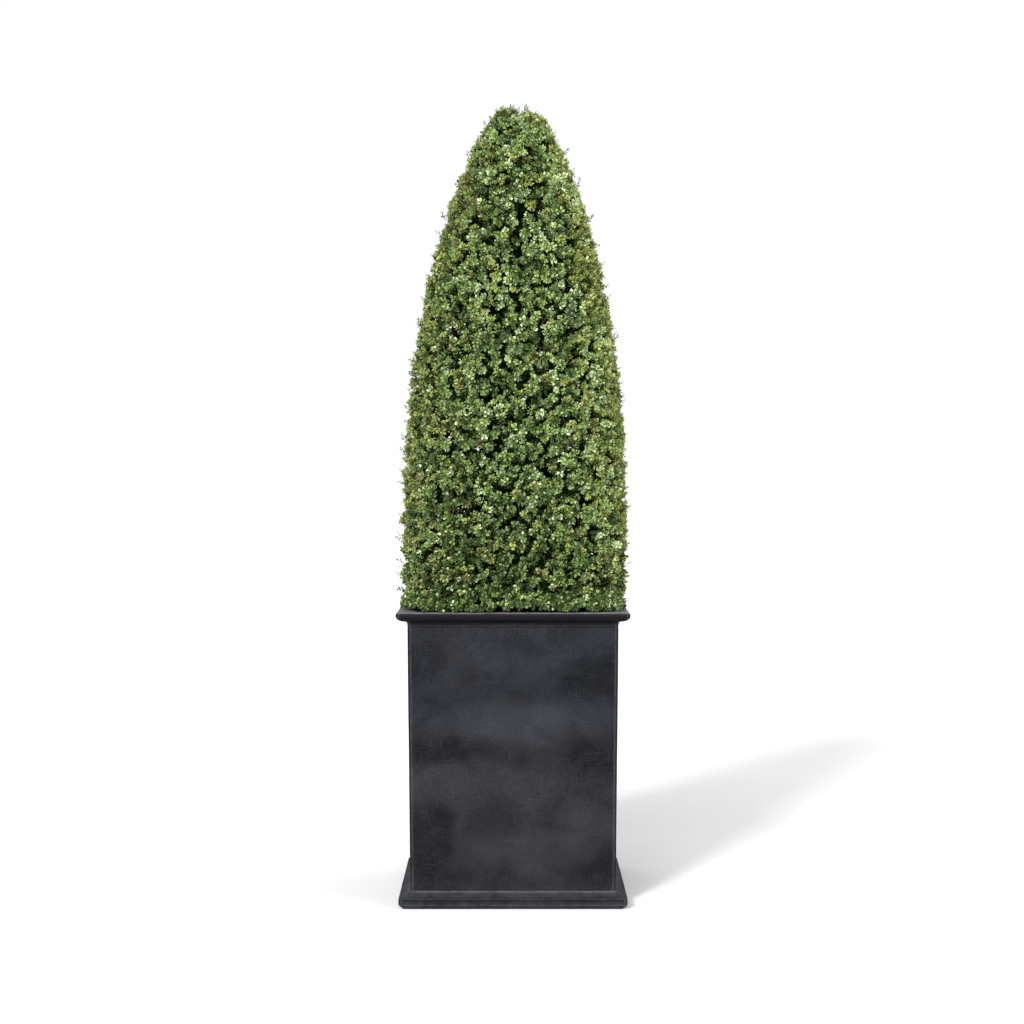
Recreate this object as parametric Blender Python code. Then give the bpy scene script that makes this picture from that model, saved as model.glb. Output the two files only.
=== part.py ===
"""Boxwood cone topiary, built together with its square planter.

Four separate pieces: the moulded planter, the compost that fills it, the short stem, and one clipped crown
of foliage. Metres, +Z up, origin on the ground under the middle of the planter.
"""

import math
import random

import bmesh
import bpy
from mathutils import Matrix, Vector, noise

# Driving sizes
CLIPPED_TOP = 2.032  # 80 in, ground to the top of the clipped crown
CLIPPED_WIDTH = 0.6096  # 24 in, across the crown's leaf tips
SPRIG_TOP = 2.062  # the highest leaf that grew out since the last clip
PLANTER_HEIGHT = 0.745
RIM_SIDE = 0.587
PLINTH_SIDE = 0.575
BODY_SIDE_TOP = 0.530
BODY_SIDE_FOOT = 0.518
CLEAR = 0.0003  # gap between pieces that touch

# Planter mouldings
CORNER_RADIUS = 0.007
CORNER_STEPS = 3
PLINTH_CHAMFER = 0.011
PLINTH_FACE_TOP = 0.027
PLINTH_SPLAY_TOP = 0.040
SPLAY_HOLLOW = 0.003
RIM_ARRIS = 0.003
NOSE_TOP = 0.006  # depth below the rim's top where the nose is widest
NOSE_DEPTH = 0.022
NOSE_REACH = 0.018
SOFFIT_DEPTH = 0.024
COVE_RADIUS = 0.004
COVE_DEPTH = 0.034
CURVE_STEPS = 5
WALL = 0.022
FLOOR = 0.025

# Compost and stem
COMPOST_BELOW_RIM = 0.030
STEM_RADIUS = 0.021
STEM_TIP_RADIUS = 0.016
STEM_LEAN = (0.006, -0.004)
FLARE_RADIUS = 0.020  # what the root flare adds at the cut
FLARE_HEIGHT = 0.028
FLARE_LOBES = 5
FLARE_EVEN = 0.6  # share of the flare that stays between its lobes
STEM_SIDES = 20
STEM_RINGS = 9
STEM_RING_BIAS = 1.4  # draws the rings down into the flare

# Crown
CROWN_FOOT = 0.7485  # lowest leaf, just above the rim
OGIVE_FLATNESS = 2.5
OGIVE_ROUNDNESS = 0.65
OGIVE_CUT = 0.969  # share of the full ogive that is left under the clipped top
FOOT_TUCK = 0.016  # how far the outline draws in at its foot
FOOT_TUCK_HEIGHT = 0.045
CROWN_LEAN = 0.012  # how far the top stands to the right of the foot
CORE_INSET = 0.033
CORE_LUMP = 0.004
CORE_LUMP_SIZE = 0.11
CORE_CHAMFER = 0.008
CORE_RINGS = 12
CORE_RING_BIAS = 0.9
CORE_SIDES = 18
CORE_FOOT_RISE = 0.004
CORE_LEAST_RADIUS = 0.012
CORE_TOP_RADIUS = 0.016
DISH_RADIUS = 0.030
DISH_HEIGHT = 0.100  # how far the hollow under the crown rises round the stem
LEAVES = 535  # sites of leaves rooted straight in the core
SHOOTS = 34  # shoots that stand out of the core, each with a side twig
SPRIGS = 5  # unclipped shoots on the top
SPRIG_RING = 0.024
FORK_DROP = 0.5  # a shoot leaves the stem lower than its site, by this share of the radius there
LAST_FORK = 0.16  # depth of the highest fork under the clipped top
SHOOT_RADIUS = 0.0055
SHOOT_SUNK = 0.022  # length below the core's skin
SHOOT_FREE = 0.022  # length above it
SIDE_TWIG = 0.026
SIDE_AT = 0.3  # share of a shoot's free length at which its side twig forks off
SIDE_SPLAY = math.radians(48)
SIDE_RADIUS = 0.0042
TWIG_TAPER = 0.7
LEAF_LENGTH = 0.072
LEAF_WIDTH = 0.052
LEAF_THICKNESS = 0.0022
LEAF_CUP = 0.045  # rise of a leaf's edges, as a share of its length
SHOULDER = 0.36  # share of the length at which a leaf reaches its full width
FAR_SHOULDER = 0.74
FAR_WIDTH = 0.86
LEAF_SUNK = 0.014
LEAF_RISE = 0.55  # how far the leaves' directions lean upwards
LEAF_TILT = 0.35  # how unevenly their upper sides face
LEAF_SPLAY = math.radians(52)
PAIR_SPLAY = math.radians(62)
PAIR_AT = 0.6  # share of a shoot's free length that carries its pair of leaves
SMALL_LEAF = 0.78
LEAF_MIDDLE = 0.6  # share of the length that counts as the middle of a leaf
LENGTH_SPREAD = (0.85, 1.1)
SPLAY_SPREAD = (-0.3, 0.2)
FOOT_LEAF_RISE = (0.0, 0.4)
SPRIG_SPREAD = (0.9, 1.4)
LEAF_ROOM = 0.035  # least distance between the middles of two leaves
LOWEST_ROOT = CROWN_FOOT + 0.020
LEAF_CUT = 0.06  # share of its length by which a leaf is clipped shorter until it fits
LEAF_CUTS = 7
UNEVEN = 0.15  # scatter of the shoots' directions
GOLDEN_ANGLE = math.pi * (3 - math.sqrt(5))
SEED = 7


def clear_scene():
    for old in list(bpy.data.objects):
        bpy.data.objects.remove(old, do_unlink=True)


def make_material(name, colour, roughness):
    material = bpy.data.materials.new(name)
    material.use_nodes = True
    shader = material.node_tree.nodes["Principled BSDF"]
    shader.inputs["Base Color"].default_value = (*colour, 1.0)
    shader.inputs["Roughness"].default_value = roughness
    shader.inputs["Metallic"].default_value = 0.0
    return material


def add_object(name, bm, material, parent):
    mesh = bpy.data.meshes.new(name)
    bmesh.ops.recalc_face_normals(bm, faces=bm.faces)
    bm.to_mesh(mesh)
    bm.free()
    mesh.materials.append(material)
    made = bpy.data.objects.new(name, mesh)
    made.parent = parent
    bpy.context.scene.collection.objects.link(made)
    return made


def bridge_rings(bm, rings):
    """Side faces between neighbouring rings of equally many points, with a cap at each end."""
    for lower, upper in zip(rings, rings[1:]):
        count = len(lower)
        for i in range(count):
            j = (i + 1) % count
            bm.faces.new((lower[i], lower[j], upper[j], upper[i]))
    bm.faces.new(list(reversed(rings[0])))
    bm.faces.new(rings[-1])


# ---------------------------------------------------------------- planter and compost


def quarter(centre, reach, rise, start):
    """Points of a quarter ellipse in (half side, height), from the angle start, anticlockwise."""
    points = []
    for i in range(CURVE_STEPS + 1):
        angle = math.radians(start + 90 * i / CURVE_STEPS)
        points.append((centre[0] + reach * math.cos(angle), centre[1] + rise * math.sin(angle)))
    return points


def square_ring(bm, half, height):
    """A square of rounded corners, half its side from the axis."""
    ring = []
    for corner in range(4):
        turn = Matrix.Rotation(corner * math.pi / 2, 3, "Z")
        for i in range(CORNER_STEPS + 1):
            angle = math.pi / 2 * i / CORNER_STEPS
            x = half - CORNER_RADIUS * (1 - math.cos(angle))
            y = half - CORNER_RADIUS * (1 - math.sin(angle))
            ring.append(bm.verts.new(turn @ Vector((x, y, height))))
    return ring


def plinth_profile():
    half = PLINTH_SIDE / 2
    body = BODY_SIDE_FOOT / 2
    rise = PLINTH_SPLAY_TOP - PLINTH_FACE_TOP
    points = [(half - PLINTH_CHAMFER, 0), (half, PLINTH_CHAMFER), (half, PLINTH_FACE_TOP)]
    for i in range(1, CURVE_STEPS + 1):
        share = i / CURVE_STEPS
        hollow = SPLAY_HOLLOW * math.sin(math.pi * share)
        points.append((half + (body - half) * share, PLINTH_FACE_TOP + rise * share - hollow))
    return points


def rim_profile():
    half = RIM_SIDE / 2
    body = BODY_SIDE_TOP / 2
    top = PLANTER_HEIGHT
    nose = quarter((half - NOSE_REACH, top - NOSE_TOP), NOSE_REACH, NOSE_DEPTH - NOSE_TOP, 270)
    cove = quarter(
        (body + COVE_RADIUS, top - COVE_DEPTH), COVE_RADIUS, COVE_DEPTH - SOFFIT_DEPTH, 90
    )
    return cove[::-1] + nose + [(half - RIM_ARRIS / 3, top - RIM_ARRIS), (half - RIM_ARRIS, top)]


def inner_half(height):
    """Half the clear width inside the planter, which narrows downwards with the body."""
    share = height / PLANTER_HEIGHT
    return (BODY_SIDE_FOOT + (BODY_SIDE_TOP - BODY_SIDE_FOOT) * share) / 2 - WALL


def make_planter(material, parent):
    mouth = inner_half(PLANTER_HEIGHT)
    inside = [
        (mouth + RIM_ARRIS, PLANTER_HEIGHT),
        (mouth, PLANTER_HEIGHT - RIM_ARRIS),
        (inner_half(FLOOR), FLOOR),
    ]
    bm = bmesh.new()
    profile = plinth_profile() + rim_profile() + inside
    bridge_rings(bm, [square_ring(bm, half, height) for half, height in profile])
    add_object("planter", bm, material, parent)


def make_compost(material, parent):
    low = FLOOR + CLEAR
    high = PLANTER_HEIGHT - COMPOST_BELOW_RIM
    bm = bmesh.new()
    rings = [square_ring(bm, inner_half(height) - CLEAR, height) for height in (low, high)]
    bridge_rings(bm, rings)
    add_object("compost", bm, material, parent)


# ---------------------------------------------------------------- stem


def stem_radius(angle, rise):
    """Tapering upwards, with lobes of root flare that fade out above the cut."""
    total = CROWN_FOOT + DISH_HEIGHT - (PLANTER_HEIGHT - COMPOST_BELOW_RIM)
    taper = STEM_RADIUS + (STEM_TIP_RADIUS - STEM_RADIUS) * rise / total
    fade = math.exp(-rise / FLARE_HEIGHT)
    lobes = FLARE_EVEN + (1 - FLARE_EVEN) * math.cos(FLARE_LOBES * angle + math.sin(angle) / 2)
    return taper + FLARE_RADIUS * fade * lobes


def make_stem(material, parent):
    foot = PLANTER_HEIGHT - COMPOST_BELOW_RIM + CLEAR
    length = CROWN_FOOT + DISH_HEIGHT - CLEAR - foot
    bm = bmesh.new()
    rings = []
    for i in range(STEM_RINGS):
        rise = length * (i / (STEM_RINGS - 1)) ** STEM_RING_BIAS
        share = rise / length
        ring = []
        for j in range(STEM_SIDES):
            angle = 2 * math.pi * j / STEM_SIDES
            radius = stem_radius(angle, rise)
            x = STEM_LEAN[0] * share + radius * math.cos(angle)
            y = STEM_LEAN[1] * share + radius * math.sin(angle)
            ring.append(bm.verts.new((x, y, foot + rise)))
        rings.append(ring)
    bridge_rings(bm, rings)
    add_object("stem", bm, material, parent)


# ---------------------------------------------------------------- crown


def clipped_radius(height):
    """Radius of the clipped outline: a blunt ogive that draws in a little where it stands on the rim."""
    rise = max(height - CROWN_FOOT, 0)
    share = OGIVE_CUT * min(rise / (CLIPPED_TOP - CROWN_FOOT), 1)
    tuck = FOOT_TUCK * max(1 - rise / FOOT_TUCK_HEIGHT, 0) ** 2
    return CLIPPED_WIDTH / 2 * (1 - share**OGIVE_FLATNESS) ** OGIVE_ROUNDNESS - tuck


def outward(height):
    """Slope of the clipped outline's normal: (share outwards, share upwards)."""
    step = 0.004
    fall = (clipped_radius(height - step) - clipped_radius(height + step)) / (2 * step)
    return Vector((1, fall)).normalized()


def in_space(point):
    """Whether a point keeps to the crown's clipped outline."""
    if not CROWN_FOOT <= point.z <= CLIPPED_TOP:
        return False
    return math.hypot(point.x, point.y) <= clipped_radius(point.z)


def core_mesh():
    """The dense inside of the crown: the outline set in, lumpy, and hollowed underneath round the stem."""
    bm = bmesh.new()
    foot = CROWN_FOOT + CORE_FOOT_RISE
    top = CLIPPED_TOP - CORE_INSET
    rings = []

    def ring(radius, height, lump):
        made = []
        for j in range(CORE_SIDES):
            angle = 2 * math.pi * j / CORE_SIDES
            place = Vector((radius * math.cos(angle), radius * math.sin(angle), height))
            swell = 1 + lump * noise.noise(place / CORE_LUMP_SIZE) / max(radius, CORE_LUMP_SIZE)
            made.append(bm.verts.new((place.x * swell, place.y * swell, height)))
        rings.append(made)

    ring(DISH_RADIUS, CROWN_FOOT + DISH_HEIGHT, 0)
    ring(clipped_radius(foot) - CORE_INSET - CORE_CHAMFER, foot, CORE_LUMP)
    foot += CORE_CHAMFER
    for i in range(CORE_RINGS):
        share = math.sin(math.pi / 2 * i / CORE_RINGS) ** CORE_RING_BIAS
        height = foot + (top - foot) * share
        ring(max(clipped_radius(height) - CORE_INSET, CORE_LEAST_RADIUS), height, 2 * CORE_LUMP)
    ring(CORE_TOP_RADIUS, top, 0)
    bridge_rings(bm, rings)
    return bm


def twig_mesh(root, tip, thick):
    """A three-sided twig that tapers to its tip."""
    bm = bmesh.new()
    frame = (tip - root).to_track_quat("Z", "Y").to_matrix()
    rings = []
    for place, radius in ((root, thick), (tip, thick * TWIG_TAPER)):
        ring = []
        for k in range(3):
            angle = 2 * math.pi * k / 3
            spoke = Vector((math.cos(angle), math.sin(angle), 0)) * radius
            ring.append(bm.verts.new(place + frame @ spoke))
        rings.append(ring)
    bridge_rings(bm, rings)
    return bm


def leaf_points(base, along, out, length):
    """Root, two shoulders, two further shoulders and tip of a cupped leaf whose upper side faces out."""
    side = along.cross(out).normalized()
    face = side.cross(along)
    width = LEAF_WIDTH * length / LEAF_LENGTH
    keel = face * LEAF_THICKNESS
    cup = face * length * LEAF_CUP
    near = base + along * length * SHOULDER + cup
    far = base + along * length * FAR_SHOULDER + cup
    half = side * width / 2
    return [
        base - keel,
        near + half,
        near - half,
        far + half * FAR_WIDTH,
        far - half * FAR_WIDTH,
        base + along * length - keel,
    ]


def leaf_mesh(points):
    """A closed blade of eight triangles: four on the upper side, four on a keeled underside."""
    bm = bmesh.new()
    root, left, right, left_far, right_far, tip = [bm.verts.new(point) for point in points]
    for corners in (
        (root, right, left),
        (left, right, right_far),
        (left, right_far, left_far),
        (left_far, right_far, tip),
        (root, left, tip),
        (root, tip, right),
        (left, left_far, tip),
        (right, tip, right_far),
    ):
        bm.faces.new(corners)
    return bm


def surface_sites(count):
    """(height, azimuth) of sites spread evenly over the clipped surface along a golden-angle spiral."""
    steps = 400
    heights = [CROWN_FOOT + (CLIPPED_TOP - CROWN_FOOT) * (i + 0.5) / steps for i in range(steps)]
    areas = [clipped_radius(height) / outward(height).x for height in heights]
    total = sum(areas)
    sites = []
    passed = 0
    for height, area in zip(heights, areas):
        passed += area
        while len(sites) < count and passed / total >= (len(sites) + 0.5) / count:
            sites.append((height, len(sites) * GOLDEN_ANGLE))
    return sites


def scatter(rng, amount):
    return Vector([rng.uniform(-amount, amount) for _ in range(3)])


def site_frame(height, azimuth):
    """The core's skin under a site, the outline's normal there, and the two directions along the surface."""
    slope = outward(height)
    radial = Vector((math.cos(azimuth), math.sin(azimuth), 0))
    out = radial * slope.x + Vector((0, 0, slope.y))
    aside = Vector((-radial.y, radial.x, 0))
    skin = radial * clipped_radius(height) + Vector((0, 0, height)) - out * CORE_INSET
    return skin, out, aside, out.cross(aside)


class Growth:
    """The pieces grown so far, with the middles of their leaves, so that no two leaves crowd each other."""

    def __init__(self):
        self.pieces = []
        self.middles = []

    def add_leaf(self, base, direction, out, length, inside):
        """A leaf clipped to its space, its upper side facing out. It is left off where it has no room."""
        middle = base + direction * length * LEAF_MIDDLE
        if any((middle - other).length < LEAF_ROOM for other in self.middles):
            return
        for cut in range(LEAF_CUTS):
            points = leaf_points(base, direction, out, length * (1 - cut * LEAF_CUT))
            if all(inside(point) for point in points[1:]):
                self.middles.append(middle)
                self.pieces.append(leaf_mesh(points))
                return


def grow_core_leaf(growth, rng, height, azimuth):
    """One leaf rooted in the core, so that its middle lies at the site, leaning out and mostly upwards."""
    turn = rng.uniform(-math.pi, math.pi)
    rise = math.cos(turn) + LEAF_RISE
    splay = LEAF_SPLAY + rng.uniform(*SPLAY_SPREAD)
    length = LEAF_LENGTH * rng.uniform(*LENGTH_SPREAD)
    lift = length * 0.5 * math.sin(splay) * rise / math.hypot(rise, math.sin(turn))
    root_height = height - lift
    if root_height < LOWEST_ROOT:
        root_height = LOWEST_ROOT
        turn = math.copysign(math.pi / 2, turn)
        rise = rng.uniform(*FOOT_LEAF_RISE)
        length *= SMALL_LEAF
    skin, out, aside, up = site_frame(root_height, azimuth)
    along = (aside * math.sin(turn) + up * rise).normalized()
    direction = out * math.cos(splay) + along * math.sin(splay)
    base = skin - direction * LEAF_SUNK
    growth.add_leaf(base, direction, out + scatter(rng, LEAF_TILT), length + LEAF_SUNK, in_space)


def grow_shoot(growth, rng, foot, along, free, inside):
    """A shoot with a pair of leaves and one at its tip, and a side twig that ends in a leaf."""
    frame = along.to_track_quat("Z", "Y").to_matrix()
    spin = rng.uniform(0, math.pi)
    length = LEAF_LENGTH * SMALL_LEAF

    def aside(turn, splay):
        out = frame @ Vector((math.cos(turn), math.sin(turn), 0))
        return along * math.cos(splay) + out * math.sin(splay)

    growth.pieces.append(twig_mesh(foot - along * SHOOT_SUNK, foot + along * free, SHOOT_RADIUS))
    for turn in (spin, spin + math.pi):
        direction = aside(turn, PAIR_SPLAY)
        base = foot + along * free * PAIR_AT - direction * SHOOT_RADIUS / 4
        growth.add_leaf(base, direction, along, length, inside)
    direction = (along + scatter(rng, UNEVEN)).normalized()
    base = foot + along * (free - SHOOT_RADIUS)
    growth.add_leaf(base, direction, scatter(rng, 1), length, inside)

    along_side = aside(spin + math.pi / 2, SIDE_SPLAY)
    fork = foot + along * free * SIDE_AT
    side_tip = fork + along_side * SIDE_TWIG
    growth.pieces.append(twig_mesh(fork - along_side * SIDE_RADIUS / 4, side_tip, SIDE_RADIUS))
    base = side_tip - along_side * SIDE_RADIUS
    growth.add_leaf(base, along_side, along, length, inside)


def in_sprig_space(point):
    """Whether a point keeps to the unclipped tuft on the top."""
    low = CLIPPED_TOP - LEAF_LENGTH
    return low < point.z <= SPRIG_TOP and math.hypot(point.x, point.y) < clipped_radius(low)


def grow_crown():
    """Every leaf and twig of the crown: shoots from one stem, a tuft on the top, and leaves in between."""
    rng = random.Random(SEED)
    growth = Growth()
    for height, azimuth in surface_sites(SHOOTS):
        foot = site_frame(height, azimuth)[0]
        fork = min(height - FORK_DROP * clipped_radius(height), CLIPPED_TOP - LAST_FORK)
        along = (foot - Vector((0, 0, fork))).normalized() + scatter(rng, UNEVEN)
        grow_shoot(growth, rng, foot, along.normalized(), SHOOT_FREE, in_space)
    for i in range(SPRIGS):
        angle = i * GOLDEN_ANGLE
        radial = Vector((math.cos(angle), math.sin(angle), 0)) * SPRIG_RING * math.sqrt(i / SPRIGS)
        foot = radial + Vector((0, 0, CLIPPED_TOP - CORE_INSET - CLEAR))
        along = (foot - Vector((0, 0, CLIPPED_TOP - LAST_FORK))).normalized()
        grow_shoot(growth, rng, foot, along, rng.uniform(*SPRIG_SPREAD) * SHOOT_FREE, in_sprig_space)
    for height, azimuth in surface_sites(LEAVES):
        grow_core_leaf(growth, rng, height, azimuth + GOLDEN_ANGLE / 2)
    return growth


def keep_largest_shell(mesh):
    """Drops loose scraps, and fills hollows that the leaves seal, by keeping only the outer shell."""
    bm = bmesh.new()
    bm.from_mesh(mesh)
    unseen = set(bm.verts)
    shells = []
    while unseen:
        shell = []
        queue = [unseen.pop()]
        while queue:
            vert = queue.pop()
            shell.append(vert)
            for edge in vert.link_edges:
                other = edge.other_vert(vert)
                if other in unseen:
                    unseen.remove(other)
                    queue.append(other)
        shells.append(shell)
    shells.sort(key=len)
    bmesh.ops.delete(bm, geom=[vert for shell in shells[:-1] for vert in shell], context="VERTS")
    bm.to_mesh(mesh)
    bm.free()


def fuse(target, pieces, material):
    """Joins the pieces to the target with one union."""
    helpers = bpy.data.collections.new("pieces")
    bpy.context.scene.collection.children.link(helpers)
    for bm in pieces:
        mesh = bpy.data.meshes.new("piece")
        bmesh.ops.recalc_face_normals(bm, faces=bm.faces)
        bm.to_mesh(mesh)
        bm.free()
        mesh.materials.append(material)
        helpers.objects.link(bpy.data.objects.new("piece", mesh))
    join = target.modifiers.new("join", "BOOLEAN")
    join.operation = "UNION"
    join.operand_type = "COLLECTION"
    join.collection = helpers
    bpy.context.view_layer.objects.active = target
    bpy.ops.object.modifier_apply(modifier=join.name)
    for piece in list(helpers.objects):
        bpy.data.objects.remove(piece, do_unlink=True)
    bpy.data.collections.remove(helpers)
    keep_largest_shell(target.data)


def lean(mesh):
    """Shears the crown to the right, more the higher up."""
    for vert in mesh.vertices:
        vert.co.x += CROWN_LEAN * (vert.co.z - CROWN_FOOT) / (CLIPPED_TOP - CROWN_FOOT)


def make_crown(material, parent):
    crown = add_object("crown", core_mesh(), material, parent)
    fuse(crown, grow_crown().pieces, material)
    lean(crown.data)


def main():
    clear_scene()
    topiary = bpy.data.objects.new("topiary", None)
    bpy.context.scene.collection.objects.link(topiary)
    planter_finish = make_material("charcoal_composite", (0.035, 0.036, 0.042), 0.62)
    compost_finish = make_material("compost", (0.030, 0.020, 0.014), 0.95)
    bark = make_material("boxwood_bark", (0.20, 0.15, 0.10), 0.85)
    foliage = make_material("boxwood_leaf", (0.10, 0.17, 0.045), 0.5)
    make_planter(planter_finish, topiary)
    make_compost(compost_finish, topiary)
    make_stem(bark, topiary)
    make_crown(foliage, topiary)


main()
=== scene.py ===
import math
from functools import reduce

import bpy
import numpy as np
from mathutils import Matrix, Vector, noise
from mathutils.kdtree import KDTree


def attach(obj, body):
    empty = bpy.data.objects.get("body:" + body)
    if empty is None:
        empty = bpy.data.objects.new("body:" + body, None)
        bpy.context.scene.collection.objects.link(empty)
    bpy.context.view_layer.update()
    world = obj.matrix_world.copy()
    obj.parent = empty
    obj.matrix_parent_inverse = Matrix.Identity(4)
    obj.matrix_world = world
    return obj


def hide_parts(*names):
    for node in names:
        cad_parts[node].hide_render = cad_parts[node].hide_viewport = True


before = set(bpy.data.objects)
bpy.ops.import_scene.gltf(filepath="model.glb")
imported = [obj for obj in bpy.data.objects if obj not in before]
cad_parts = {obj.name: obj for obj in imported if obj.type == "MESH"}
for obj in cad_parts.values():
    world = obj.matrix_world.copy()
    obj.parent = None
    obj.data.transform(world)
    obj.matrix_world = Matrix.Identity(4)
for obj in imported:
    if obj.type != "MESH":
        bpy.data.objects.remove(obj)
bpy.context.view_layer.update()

# ---- sizes, as in the part's source
CLIPPED_TOP = 2.032
CLIPPED_WIDTH = 0.6096
SPRIG_TOP = 2.062  # the highest leaf that grew out since the last clip
PLANTER_HEIGHT = 0.745
RIM_SIDE = 0.587
PLINTH_SIDE = 0.575
BODY_SIDE_TOP = 0.530
BODY_SIDE_FOOT = 0.518
CORNER_RADIUS = 0.007
PLINTH_CHAMFER = 0.011
PLINTH_FACE_TOP = 0.027
PLINTH_SPLAY_TOP = 0.040
SPLAY_HOLLOW = 0.003
RIM_ARRIS = 0.003
NOSE_TOP = 0.006
NOSE_DEPTH = 0.022
NOSE_REACH = 0.018
SOFFIT_DEPTH = 0.024
COVE_RADIUS = 0.004
COVE_DEPTH = 0.034
WALL = 0.022
FLOOR = 0.025
COMPOST_BELOW_RIM = 0.030
STEM_RADIUS = 0.021
STEM_TIP_RADIUS = 0.016
STEM_LEAN = (0.006, -0.004)
FLARE_RADIUS = 0.020
FLARE_HEIGHT = 0.028
FLARE_LOBES = 5
CROWN_FOOT = 0.7485  # the lowest leaf, just above the rim
FOOT_TUCK = 0.016
FOOT_TUCK_HEIGHT = 0.045
CROWN_LEAN = 0.012
DISH_HEIGHT = 0.100
OGIVE_FLATNESS = 2.5
OGIVE_ROUNDNESS = 0.65
OGIVE_CUT = 0.969

CROWN_HEIGHT = CLIPPED_TOP - CROWN_FOOT
GOLDEN_ANGLE = math.pi * (3 - math.sqrt(5))

# ---- growth, carried finer
BOUGHS = 110
BOUGH_RINGS = 9
LEADER_RINGS = 26
FORK_DROP = 0.5  # how far below its site a bough forks off the leader, over the clipped radius there
LAST_FORK = 0.16  # below the clipped top
PLUMES = 3000  # tufts of shoots, each on a branchlet of its own
TOP_LUMPS = ((-0.033, 0.006, 9), (0.028, -0.003, 8))  # the top's two lumps: x, rise and plumes
TOP_CLEFT = -0.0015  # x of the cleft between them
CLEFT_FOOT = 2.011
CLEFT_WIDENING = 0.24  # half its width over the height above its foot
CLEFT_HALF_WIDTH = 0.010  # of the fall in the plumes' tips beside it
CLEFT_DROP = 0.040
CLEFT_START = 1.975  # the height where that fall starts
CLEFT_GROWTH = 0.04  # and how far above it is full
NOTCH_AZIMUTH = math.pi  # of a shallow notch in the crown's left side
NOTCH_HEIGHT = 0.793
NOTCH_HALF_WIDTH = 0.11
NOTCH_HALF_HEIGHT = 0.020
NOTCH_DEPTH = 0.026
SKIRT = 130  # low plumes, which spread just over the planter's ledge
SKIRT_RADIUS = 0.284
SKIRT_CORNERS = 0.066  # how much further out they reach above its corners
SIDE_SPLAY = math.radians(40)
SIDE_BELOW = (0.007, 0.014, 0.022, 0.031)  # where side shoots fork off, below the plume's tip
SIDE_LENGTH = (0.013, 0.016, 0.018, 0.020)
SIDE_AGE = (0.5, 0.5, 1.0, 1.5)  # how much older their leaves are than the plume's own
SIDE_SCALE = 0.96
BRANCHLET_RADII = (0.0020, 0.0017, 0.0014, 0.0011, 0.0008, 0.0004)
SHOOT_RADII = (0.0008, 0.0004)
LOW_BAND = 0.065  # the lowest part of the crown, which spreads towards the planter's corners
MAIN_PAIRS = 6
SIDE_PAIRS = 4
LEAF_LENGTH = 0.0114
LEAF_WIDTH = 0.0087
INTERNODE = 0.0043
PLUME_LENGTH = 0.056
LEDGE_REST = CROWN_FOOT - 0.0018  # leaves that come lower are raised to this, clear of the planter's ledge
LEDGE_LIFT = 0.014  # by so much at most
LEDGE_LIMIT = CROWN_FOOT - 0.0022  # and those still lower than this are left out
LEAF_PROUD = 0.0045  # how far leaves may stand out of the clipped outline
INNER_LEAVES = 11  # old leaves along each branchlet, dark partly with age and partly as painted shade
INNER_SIZE = (0.013, 0.018)
INNER_WIDTH = 0.66  # over its length
INNER_DEPTH = 0.012  # inside the clipped outline
DEEP_LEAVES = 15000  # and among the boughs
DEEP_SIZE = (0.019, 0.026)
DEEP_WIDTH = 0.68
DEEP_DEPTH = 0.035
STRAYS = 380  # thin new shoots that stand a little proud of the clip
STRAY_LENGTH = 0.032
STRAY_RADII = (0.0007, 0.0004)
STRAY_PROUD = (0.002, 0.007)
PROUDER_ABOVE = 1.72  # the height over which they stand out further
PROUDER_BY = 1.5  # times more than below it
TOP_STRAYS = 40
TOP_PROUD = (0.006, 0.026)
SPRIG_PAIRS = 5
SPRIG_SCALE = (0.48, 0.72)
SPRIG_INTERNODE = 0.0054
SPRIG_LEAF_PROUD = 0.020
SEED = 7

rng = np.random.default_rng(SEED)
UP = np.array([0, 0, 1.0])
LEVEL = np.array([1.0, 1.0, 0])


# ---- helpers


def unit(vectors):
    """The vectors at length 1, but for those of no length."""
    return vectors / np.maximum(np.linalg.norm(vectors, axis=-1, keepdims=True), 1e-9)


def turned(one_way, other_way, angle):
    """Directions at an angle from the one way towards the other, which is square to it."""
    return one_way * np.cos(angle)[..., None] + other_way * np.sin(angle)[..., None]


def skin(ring):
    """Faces between neighbouring rings, from point numbers shaped (..., rings, points in each)."""
    following = np.roll(ring, -1, axis=-1)
    corners = (ring[..., :-1, :], following[..., :-1, :], following[..., 1:, :], ring[..., 1:, :])
    return np.stack(corners, -1).reshape(-1, 4)


def make_mesh(name, points, faces, smooth=True):
    """A mesh from an array of points and an array of faces, all of one corner count."""
    mesh = bpy.data.meshes.new(name)
    corners = faces.shape[1]
    mesh.vertices.add(len(points))
    mesh.vertices.foreach_set("co", np.ascontiguousarray(points, np.float32).ravel())
    mesh.loops.add(faces.size)
    mesh.loops.foreach_set("vertex_index", np.ascontiguousarray(faces, np.int32).ravel())
    mesh.polygons.add(len(faces))
    mesh.polygons.foreach_set("loop_start", np.arange(0, faces.size, corners, dtype=np.int32))
    mesh.polygons.foreach_set("use_smooth", np.full(len(faces), smooth))
    mesh.update(calc_edges=True)
    return mesh


def add_object(name, data):
    shown = bpy.data.objects.new(name, data)
    bpy.context.scene.collection.objects.link(shown)
    return shown


def add_piece(name, points, faces, material, node=None, smooth=True):
    """Adds a piece on the part's one body, which replaces a node of the solids where one is named."""
    mesh = make_mesh(name, points, faces, smooth)
    mesh.materials.append(material)
    piece = add_object(name, mesh)
    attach(piece, "root")
    if node:
        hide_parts(node)
    return piece


def swell(points, size, seed):
    """Smooth noise from -1 to 1 at each point, with features of about that size in metres."""
    offset = Vector((seed * 7.3, seed * -3.1, seed * 5.7))
    return np.array([noise.noise(Vector(p) / size + offset) for p in points.tolist()])


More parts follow.
